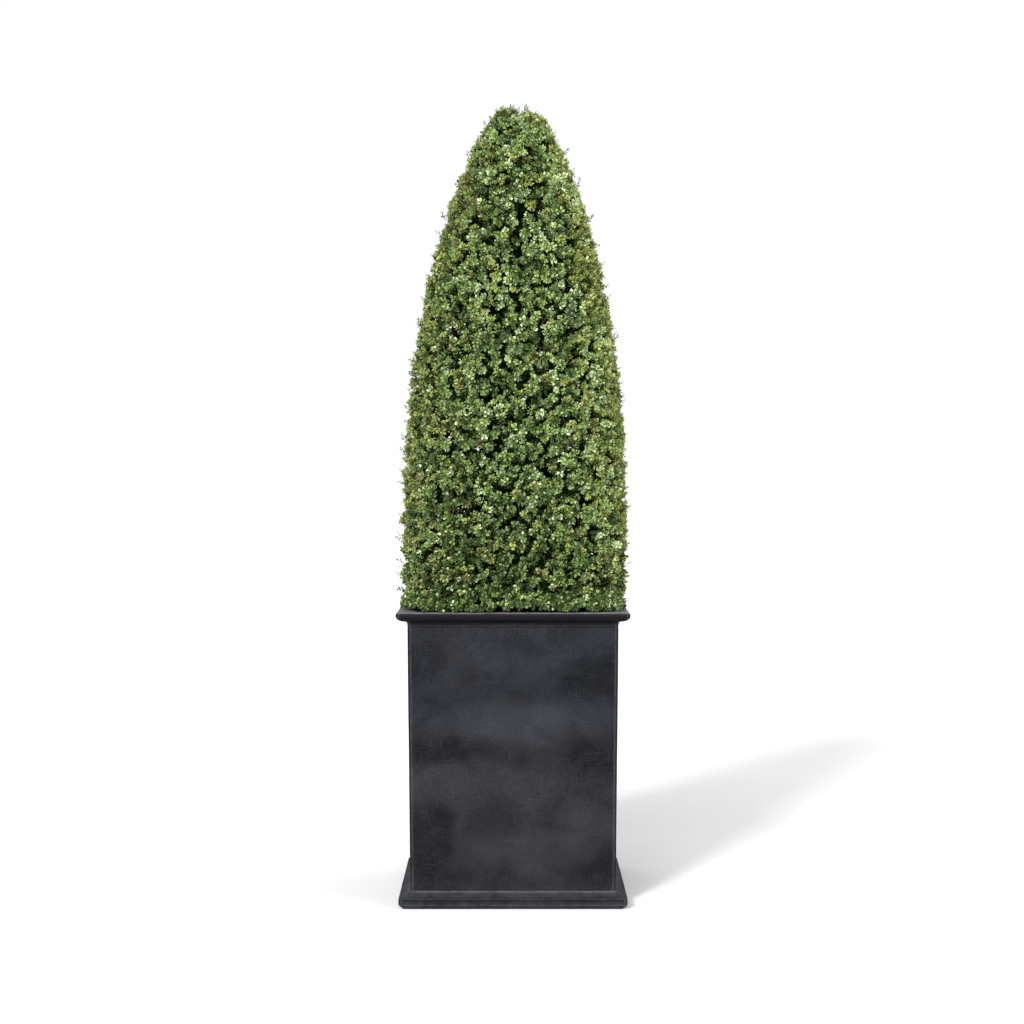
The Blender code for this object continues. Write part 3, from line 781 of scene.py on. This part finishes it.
def leaves(base, along, face, length, width):
    """The points of leaves: (count, 6, 3), from their base points, directions, upper sides and sizes."""
    aside = unit(np.cross(face, along))
    face = np.cross(along, aside)
    shape = LEAF_OUTLINE[None]
    return (base[:, None] + along[:, None] * shape[..., :1] * length[:, None, None]
            + aside[:, None] * shape[..., 1:2] * width[:, None, None]
            + face[:, None] * shape[..., 2:] * length[:, None, None])


def kept_points(points, proud, top=SPRIG_TOP, cleft=CLEFT_WIDENING):
    """Which leaves stand no further proud of the clipped outline, keep under the top and out of the cleft.

    The lowest may spread towards the planter's corners."""
    x, y, height = points[..., 0], points[..., 1], points[..., 2]
    radius = np.hypot(x, y)
    low = np.clip((CROWN_FOOT + LOW_BAND - height) / LOW_BAND, 0, 1)
    corner = np.abs(2 * x * y) / np.maximum(radius, 1e-6) ** 2
    spread = 0.003 * low**3 + SKIRT_CORNERS * corner**3 * low
    inside = radius <= clipped_radius(height) + proud + spread
    wedge = np.abs(x - TOP_CLEFT) < cleft * (height - CLEFT_FOOT)
    return (inside & ~wedge & (height <= top) & (height >= LEDGE_LIMIT)).all(axis=1)


# name, base colour, roughness and specular level; dealt out below, the darkest also serve as painted shade
# and the palest as painted light
TINTS = (
    ("inner", (0.014, 0.033, 0.003), 0.60, 0.10),
    ("deep", (0.042, 0.071, 0.020), 0.50, 0.15),
    ("dark", (0.074, 0.115, 0.041), 0.46, 0.25),
    ("mid", (0.128, 0.198, 0.056), 0.40, 0.35),
    ("cool", (0.142, 0.218, 0.094), 0.38, 0.40),
    ("fresh", (0.202, 0.298, 0.075), 0.38, 0.36),
    ("bright", (0.310, 0.412, 0.136), 0.36, 0.40),
    ("yellow", (0.264, 0.326, 0.080), 0.34, 0.50),
    ("olive", (0.198, 0.240, 0.056), 0.38, 0.45),
    ("bronze", (0.165, 0.160, 0.056), 0.42, 0.40),
    ("pale", (0.500, 0.580, 0.310), 0.34, 0.42),
)
TINT = {tint[0]: i for i, tint in enumerate(TINTS)}
# one step darker and one step paler for each tint: darker stands for age and for painted shade, paler for
# painted light
OLDER_AND_SHADED = {"pale": "bright", "bright": "fresh", "fresh": "mid", "cool": "mid", "mid": "dark", "dark": "deep",
         "yellow": "olive", "olive": "dark", "bronze": "dark"}
YOUNGER_AND_LIT = {"deep": "dark", "dark": "mid", "mid": "fresh", "cool": "bright", "fresh": "bright",
           "bright": "pale", "olive": "yellow", "bronze": "olive"}
# the mood under which a plume takes each tint; above the last it is bright
MOODS = ((-0.30, "dark"), (-0.04, "mid"), (0.15, "cool"), (0.38, "fresh"))
TOP_LIGHT = 0.24  # what a plume's place adds to its mood or takes from it, as painted light and painted shade
RIGHT_LIGHT = 0.46
LEFT_SHADE = 0.42
FOOT_SHADE = 0.50
LEDGE_SHADE = 0.60
PIT_SHADE = 1.2


def deal_tints(plume, shoot, rank, age, place):
    """A tint for every leaf, by its plume's place, its shoot, its pair there and its age.

    The pairs round each shoot's tip are the palest, painted light on each rosette's lit rim, a few as
    painted highlights, and the bud that they close round is darker as painted shade. Deeper pairs are
    darker, partly with age and partly as painted shade. The top, the right flank and proud lumps are painted
    paler as painted light; the foot, the left flank, the ledge and the pits darker as painted shade. Both
    flanks are warmer, partly as painted light through the leaves."""
    rise = rise_share(place)
    aside = place[:, 0] / np.maximum(np.hypot(place[:, 0], place[:, 1]), 1e-6)
    right = np.clip(aside, 0, 1) ** 3
    left = np.clip(-aside, 0, 1) ** 3
    mood = 0.66 * swell(place, 0.060, 11) + rng.normal(0, 0.16, len(place))
    # proud lumps are paler as painted light, and pits darker as painted shade
    mood += 0.45 * np.clip(swell(place, 0.045, 14) - 0.10, 0, 0.4) - PIT_SHADE * pits(place)
    mood += (TOP_LIGHT * (rise - 0.76) - FOOT_SHADE * np.clip(1 - rise / 0.28, 0, 1)
             + RIGHT_LIGHT * right - LEFT_SHADE * left)
    mood -= LEDGE_SHADE * (place[:, 2] < CROWN_FOOT + 0.024)
    # the flanks are warmer, partly as painted light through the leaves at the outline
    often_warm = 0.10 + 0.70 * np.abs(aside) ** 3 + 0.07 * np.clip(1 - rise / 0.4, 0, 1)
    warm = rng.random(len(place)) < often_warm
    base = np.select([mood < limit for limit, _ in MOODS], [TINT[name] for _, name in MOODS], TINT["bright"])
    base = np.where(warm, np.where(mood > 0.10 + 0.3 * left, TINT["yellow"], TINT["olive"]), base)
    older_and_shaded = np.array([TINT[OLDER_AND_SHADED.get(tint[0], tint[0])] for tint in TINTS])
    younger_and_lit = np.array([TINT[YOUNGER_AND_LIT.get(tint[0], tint[0])] for tint in TINTS])
    tint = base[plume]
    by_shoot = rng.random(shoot.max() + 1)[shoot]
    chance = 0.8 * by_shoot + 0.2 * rng.random(len(plume))
    # the pairs round a shoot's tip are paler, painted light on the rosette's rim; a few are pale as painted
    # highlights
    ring = (rank > 0) & (age <= 2.5)
    tint = np.where(ring & (chance < 0.75), younger_and_lit[tint], tint)
    tint = np.where(ring & (chance < 0.28), younger_and_lit[tint], tint)
    tint = np.where(ring & (by_shoot > 0.90 + 0.08 * rise[plume]), TINT["pale"], tint)
    # deeper pairs are darker, partly with age and partly as painted shade
    tint = np.where((age >= 3) & (chance < 0.7), older_and_shaded[tint], tint)
    tint = np.where(~ring & (chance < 1.1 - 6 * rise[plume]), older_and_shaded[tint], tint)
    tint = np.where(age >= 5, older_and_shaded[older_and_shaded[tint]], tint)
    tint = np.where(warm[plume] & (age >= 2) & (chance > 0.72 - 0.3 * left[plume]), TINT["bronze"], tint)
    return np.where((age >= 7) & (chance < 0.6), TINT["deep"], tint)


def across(along):
    """Two directions square to each direction and to each other."""
    helper = np.where(np.abs(along[..., 2:]) > 0.9, np.array([1.0, 0, 0]), UP)
    aside = unit(np.cross(helper, along))
    return aside, np.cross(along, aside)


# for each pair down a shoot from its tip: how far its leaves splay, and their size over a full leaf's
PAIR_SPLAY = np.radians([30, 44, 54, 60, 64, 68, 72, 76])
PAIR_SIZE = (0.56, 0.84, 1.00, 1.06, 1.04, 1.00, 0.94, 0.9)


def pairs_of_leaves(tip, along, pairs, scale, internode):
    """Leaves in opposite pairs down each shoot from its tip, every pair turned across the last.

    Gives their points, and the shoot and the pair that each belongs to."""
    one_way, other_way = across(along)
    spin = rng.uniform(0, math.pi, len(tip))
    blades, shoot, rank = [], [], []
    for pair in range(int(pairs.max())):
        grown = np.nonzero(pairs > pair)[0]
        count = len(grown)
        for side in (0, 1):
            turn = spin[grown] + pair * math.pi / 2 + side * math.pi + rng.normal(0, 0.25, count)
            spoke = turned(one_way[grown], other_way[grown], turn)
            splay = PAIR_SPLAY[pair] + rng.normal(0, 0.18, count)
            face = turned(-spoke, along[grown], splay) + rng.normal(0, 0.30, (count, 3))
            base = tip[grown] - along[grown] * (0.0008 + internode * pair) + spoke * 0.0004
            length = LEAF_LENGTH * PAIR_SIZE[pair] * scale[grown] * rng.uniform(0.80, 1.18, count)
            width = length * LEAF_WIDTH / LEAF_LENGTH * rng.uniform(0.88, 1.1, count)
            blades.append(leaves(base, turned(along[grown], spoke, splay), face, length, width))
            shoot.append(grown)
            rank.append(np.full(count, pair))
    return np.concatenate(blades), np.concatenate(shoot), np.concatenate(rank)


def radial_of(points):
    """The level direction away from the crown's axis at each point."""
    return unit(points * LEVEL)


def pits(place):
    """How deep in a gap between the plumes each place is: gaps are commoner at the foot and on the left."""
    rise = rise_share(place)
    left = np.clip(-place[:, 0] / CLIPPED_WIDTH * 2, 0, 1) ** 2
    often = 0.20 * np.clip(1 - rise / 0.35, 0, 1) - 0.12 * np.clip(rise - 0.4, 0, 1) + 0.17 * left
    return np.clip(often - 0.08 - swell(place, 0.045, 14), 0, 0.5)


def out_of(points):
    """The direction out of the crown at each point."""
    return unit(radial_of(points) + np.array([0, 0, 0.3]))


def grow_boughs(bark):
    """Adds the leader and the boughs, which fork off it lower than the site they grow to.

    Gives the places that branchlets may grow from."""
    height, azimuth = surface_sites(BOUGHS, 0.25)
    site, out, _ = site_frame(height, azimuth)
    drop = FORK_DROP * clipped_radius(height)
    fork = UP * np.clip(height - drop, CROWN_FOOT + 0.045, CLIPPED_TOP - LAST_FORK)[:, None]
    reach = np.minimum(0.095, clipped_radius(height) * 0.55)
    tip = site - out * reach[:, None]
    tip[:, 2] = np.maximum(tip[:, 2], CROWN_FOOT + 0.012)
    span = np.linalg.norm(tip - fork, axis=1)
    sag = -UP * span[:, None] * 0.07 + rng.normal(0, 0.006, (BOUGHS, 3))
    paths = bend(fork, tip, sag, BOUGH_RINGS)
    share = np.linspace(0, 1, BOUGH_RINGS)[None]
    radii = (0.0022 + 0.014 * span)[:, None] * (1 - share) + 0.0016 * share
    bough_points, bough_faces = tubes(paths, radii, 7)
    share = np.linspace(0, 1, LEADER_RINGS)
    low, high = CROWN_FOOT + DISH_HEIGHT, CLIPPED_TOP - 0.075
    leader = np.stack([
        STEM_LEAN[0] * (1 - share) + 0.006 * np.sin(5 * share),
        STEM_LEAN[1] * (1 - share) + 0.005 * np.sin(4 * share + 1) * share,
        low + (high - low) * share], -1)[None]
    leader_points, leader_faces = tubes(leader, STEM_TIP_RADIUS * (1 - share) + 0.0025 * share, 18)
    points = np.concatenate([bough_points, leader_points])
    faces = np.concatenate([bough_faces, leader_faces + len(bough_points)])
    add_crown_piece("crown_boughs", points, faces, bark)
    return np.concatenate([paths[:, 3:].reshape(-1, 3), leader[0, 18:]])


def wall_plumes():
    """Plumes all over the clipped surface: their tips, the way each leans, and their sites on it."""
    height, azimuth = surface_sites(PLUMES, 0.36)
    site, out, up = site_frame(height, azimuth)
    radius = clipped_radius(height)
    # how far under the surface each tip stays, which makes its hollows, its pits and the notch
    inset = 0.003 + 0.006 * np.clip(radius / 0.2, 0, 1)
    inset += 0.007 * np.clip(-swell(site, 0.085, 13), 0, 1) + 0.044 * pits(site)
    off_notch = (azimuth - NOTCH_AZIMUTH + math.pi) % (2 * math.pi) - math.pi
    away = (off_notch * radius / NOTCH_HALF_WIDTH) ** 2 + ((height - NOTCH_HEIGHT) / NOTCH_HALF_HEIGHT) ** 2
    inset += NOTCH_DEPTH * np.exp(-away)
    inset += rng.uniform(0.0, 0.007, PLUMES)
    tip = site - out * np.minimum(inset, radius * 0.4)[:, None]
    # neighbours lean the same way, in whorls
    aside = np.cross(up, out)
    sway = 2.6 * math.pi * swell(site, 0.16, 15) + rng.normal(0, 0.7, PLUMES)
    along = unit(out + 1.75 * turned(aside, up, sway) + 0.15 * up + rng.normal(0, 0.14, (PLUMES, 3)))
    # the lowest point outwards and a little down, and spread towards the planter's corners
    low = np.clip((CROWN_FOOT + 0.055 - height) / 0.045, 0, 1)[:, None]
    along = unit(along * (1 - low) + (out - 0.20 * up + rng.normal(0, 0.25, (PLUMES, 3))) * low)
    spread = 0.001 + SKIRT_CORNERS * np.abs(np.sin(2 * azimuth)) ** 3
    tip += radial_of(site) * spread[:, None] * low
    tip[:, 2] = np.maximum(tip[:, 2], CROWN_FOOT + 0.004)
    return tip, along, site


def skirt_plumes():
    """Low plumes, closer together at the planter's corners, which they reach out to."""
    turn = np.arange(SKIRT) * 2 * math.pi / SKIRT + rng.uniform(-0.03, 0.03, SKIRT)
    turn += 0.11 * np.sin(4 * turn)
    heading = np.stack([np.cos(turn), np.sin(turn), np.zeros(SKIRT)], -1)
    reach = SKIRT_RADIUS + SKIRT_CORNERS * np.abs(np.sin(2 * turn)) ** 3 + rng.uniform(-0.008, 0.004, SKIRT)
    tip = heading * reach[:, None] + UP * (CROWN_FOOT + rng.uniform(0.004, 0.020, SKIRT))[:, None]
    along = unit(heading - 0.15 * UP + rng.normal(0, 0.28, (SKIRT, 3)))
    return tip, along, tip


def crest_plumes(x, rise, count):
    """The plumes of one of the top's lumps, which flare outwards."""
    order = np.arange(count)
    around = order * GOLDEN_ANGLE + 2.1
    ring = np.sqrt((order + 0.5) / count)
    middle = np.array([x, 0, CLIPPED_TOP + rise])
    spread = np.stack([0.016 * ring * np.cos(around), 0.038 * ring * np.sin(around), -0.011 * ring**2], -1)
    tip = middle + spread + rng.uniform(-0.002, 0.002, (count, 3))
    flare = (spread * 9 + middle * 2) * LEVEL + UP
    return tip, unit(flare + rng.normal(0, 0.10, (count, 3))), tip


def plume_tips():
    """Where the plumes end, the way each of them leans, and their sites on the clipped surface."""
    groups = [wall_plumes(), skirt_plumes(), *(crest_plumes(*lump) for lump in TOP_LUMPS)]
    tip, along, site = (np.concatenate(column) for column in zip(*groups))
    cleft = np.exp(-(((tip[:, 0] - TOP_CLEFT) / CLEFT_HALF_WIDTH) ** 2))
    tip[:, 2] -= CLEFT_DROP * cleft * np.clip((tip[:, 2] - CLEFT_START) / CLEFT_GROWTH, 0, 1)
    return tip, along, site


def add_branchlets(nodes, foot, tip, along):
    """Adds branchlets from the nearest bough to each plume's foot and on to its tip; gives their starts."""
    tree = KDTree(len(nodes))
    for index, place in enumerate(nodes.tolist()):
        tree.insert(place, index)
    tree.balance()
    start = np.array([nodes[tree.find(place)[1]] for place in (foot - UP * 0.03).tolist()])
    low_path = bend(start, foot, rng.normal(0, 0.004, foot.shape) - UP * 0.004, 4)
    middle = (foot + tip) / 2 - along * 0.002
    path = np.concatenate([low_path, middle[:, None], (tip - along * 0.001)[:, None]], 1)
    twig = Nodes("twig_wood").finish((0.055, 0.052, 0.022), 0.85, None, 0.20)
    add_crown_piece("crown_branchlets", *tubes(path, BRANCHLET_RADII, 3), twig)
    return start


def add_side_shoots(tip, along, twig):
    """Adds the side shoots that fork off the plumes; gives the tips and directions of all shoots."""
    count = len(tip)
    one_way, other_way = across(along)
    spin = rng.uniform(0, 2 * math.pi, count)
    tips, alongs, ends = [tip], [along], []
    for order, (below, length) in enumerate(zip(SIDE_BELOW, SIDE_LENGTH)):
        turn = spin + GOLDEN_ANGLE * order + rng.normal(0, 0.3, count)
        spoke = turned(one_way, other_way, turn)
        direction = turned(along, spoke, SIDE_SPLAY + rng.normal(0, 0.15, count))
        fork = tip - along * below * rng.uniform(0.9, 1.15, count)[:, None]
        end = fork + direction * length * rng.uniform(0.8, 1.15, count)[:, None]
        ends.append(np.stack([fork, end], 1))
        tips.append(end)
        alongs.append(unit(direction + 0.35 * along))
    add_crown_piece("crown_shoots", *tubes(np.concatenate(ends), SHOOT_RADII, 3), twig)
    return np.concatenate(tips), np.concatenate(alongs)


def young_leaves(tip, along, site, twig):
    """The leaves of the plumes and of their side shoots, which it adds, and their tints."""
    count = len(tip)
    shoot_tip, shoot_along = add_side_shoots(tip, along, twig)
    pairs = np.repeat([MAIN_PAIRS] + [SIDE_PAIRS] * len(SIDE_AGE), count)
    scale = np.repeat([1.0] + [SIDE_SCALE] * len(SIDE_AGE), count)
    blades, shoot, rank = pairs_of_leaves(shoot_tip, shoot_along, pairs, scale, INTERNODE)
    age = rank + np.array([0.0, *SIDE_AGE])[shoot // count]
    tint = deal_tints(shoot % count, shoot, rank, age, site)
    # the lowest leaves are darker, as painted shade under the leaves above
    lowest = blades[..., 2].mean(axis=1) < CROWN_FOOT + 0.013
    tint = np.where(lowest & (rng.random(len(tint)) < 0.35), TINT["dark"], tint)
    tint = np.where(lowest & (rng.random(len(tint)) < 0.50), TINT["deep"], tint)
    blades[..., 2] += np.clip(LEDGE_REST - blades[..., 2].min(axis=1), 0, LEDGE_LIFT)[:, None]
    keep = kept_points(blades, LEAF_PROUD)
    return blades[keep], tint[keep]


def sprig_leaves(twig):
    """Adds thin new shoots that stand a little proud of the clip; gives their leaves and tints."""
    height, azimuth = surface_sites(STRAYS, 0.45)
    place, out, up = site_frame(height, azimuth)
    # on the top they stand thickest left of its middle, and lower to its sides and on the right
    top = rng.normal(0, 1, (TOP_STRAYS, 3)) * np.array([0.030, 0.020, 0]) + UP * (CLIPPED_TOP - 0.004)
    top[:, 0] -= 0.020
    top[:, 2] -= 0.012 * (np.abs(top[:, 0] - TOP_CLEFT) / 0.045) ** 2 + 0.006 * (top[:, 0] > TOP_CLEFT)
    place = np.concatenate([place, top])
    heading = np.concatenate([out + 0.5 * up, np.repeat(UP[None], TOP_STRAYS, 0)])
    heading = unit(heading + rng.normal(0, 0.3, heading.shape))
    proud = rng.uniform(*STRAY_PROUD, STRAYS) * (1 + PROUDER_BY * (height > PROUDER_ABOVE))
    proud = np.concatenate([proud, rng.uniform(*TOP_PROUD, TOP_STRAYS)])
    end = place + heading * proud[:, None]
    end[:, 2] = np.clip(end[:, 2], CROWN_FOOT + 0.012, SPRIG_TOP - 0.002)
    path = np.stack([end - heading * STRAY_LENGTH, end], 1)
    add_crown_piece("crown_sprigs", *tubes(path, STRAY_RADII, 3), twig)
    pairs = np.full(len(end), SPRIG_PAIRS)
    scale = rng.uniform(*SPRIG_SCALE, len(end))
    blades, _, _ = pairs_of_leaves(end, heading, pairs, scale, SPRIG_INTERNODE)
    tint = np.where(rng.random(len(blades)) < 0.5, TINT["mid"], TINT["dark"])
    keep = kept_points(blades, SPRIG_LEAF_PROUD, cleft=0)
    return blades[keep], tint[keep]


def old_leaves(nodes, start, foot):
    """Dark leaves along the branchlets and among the boughs, deep in the crown: dark partly with age, partly
    as painted shade.
    """
    share = rng.uniform(0.3, 1.1, (len(start), INNER_LEAVES, 1))
    base = start[:, None] * (1 - share) + foot[:, None] * share
    base = (base + rng.normal(0, 0.010, base.shape)).reshape(-1, 3)
    heading = unit(np.repeat(out_of(foot), INNER_LEAVES, axis=0) + rng.normal(0, 0.8, base.shape))
    face = unit(rng.normal(0, 1, base.shape) + UP)
    size = rng.uniform(*INNER_SIZE, len(base))
    inner = leaves(base, heading, face, size, size * INNER_WIDTH)
    inner = inner[kept_points(inner, -INNER_DEPTH, CLIPPED_TOP - 0.015)]
    base = nodes[rng.integers(0, len(nodes), DEEP_LEAVES)] + rng.normal(0, 0.026, (DEEP_LEAVES, 3))
    size = rng.uniform(*DEEP_SIZE, DEEP_LEAVES)
    heading = unit(rng.normal(0, 1, base.shape))
    face = unit(out_of(base) + rng.normal(0, 0.5, base.shape))
    deepest = leaves(base, heading, face, size, size * DEEP_WIDTH)
    blades = np.concatenate([inner, deepest[kept_points(deepest, -DEEP_DEPTH, CLIPPED_TOP - DEEP_DEPTH)]])
    return blades, np.full(len(blades), TINT["inner"])


def make_crown(bark):
    nodes = grow_boughs(bark)
    tip, along, site = plume_tips()
    length = np.minimum(PLUME_LENGTH, 0.35 * clipped_radius(tip[:, 2]) + 0.018)
    foot = tip - along * length[:, None] - 0.006 * UP
    foot[:, 2] = np.maximum(foot[:, 2], CROWN_FOOT + 0.004)
    start = add_branchlets(nodes, foot, tip, along)
    green_twig = Nodes("young_twig").finish((0.085, 0.095, 0.030), 0.7, None, 0.3)
    groups = [young_leaves(tip, along, site, green_twig), sprig_leaves(green_twig)]
    groups.append(old_leaves(nodes, start, foot))
    blades, tint = (np.concatenate(column) for column in zip(*groups))
    for index, (name, colour, rough, gloss) in enumerate(TINTS):
        chosen = blades[tint == index]
        faces = (np.arange(len(chosen))[:, None, None] * len(LEAF_OUTLINE) + LEAF_FACES[None]).reshape(-1, 3)
        material = Nodes("leaf_" + name).finish(colour, rough, None, gloss)
        add_crown_piece("crown_leaves_" + name, chosen.reshape(-1, 3), faces, material, "boxwood_leaf")


make_camera()
make_light()
make_floor()
make_planter()
make_compost()
bark = bark_material()
make_stem(bark)
make_crown(bark)
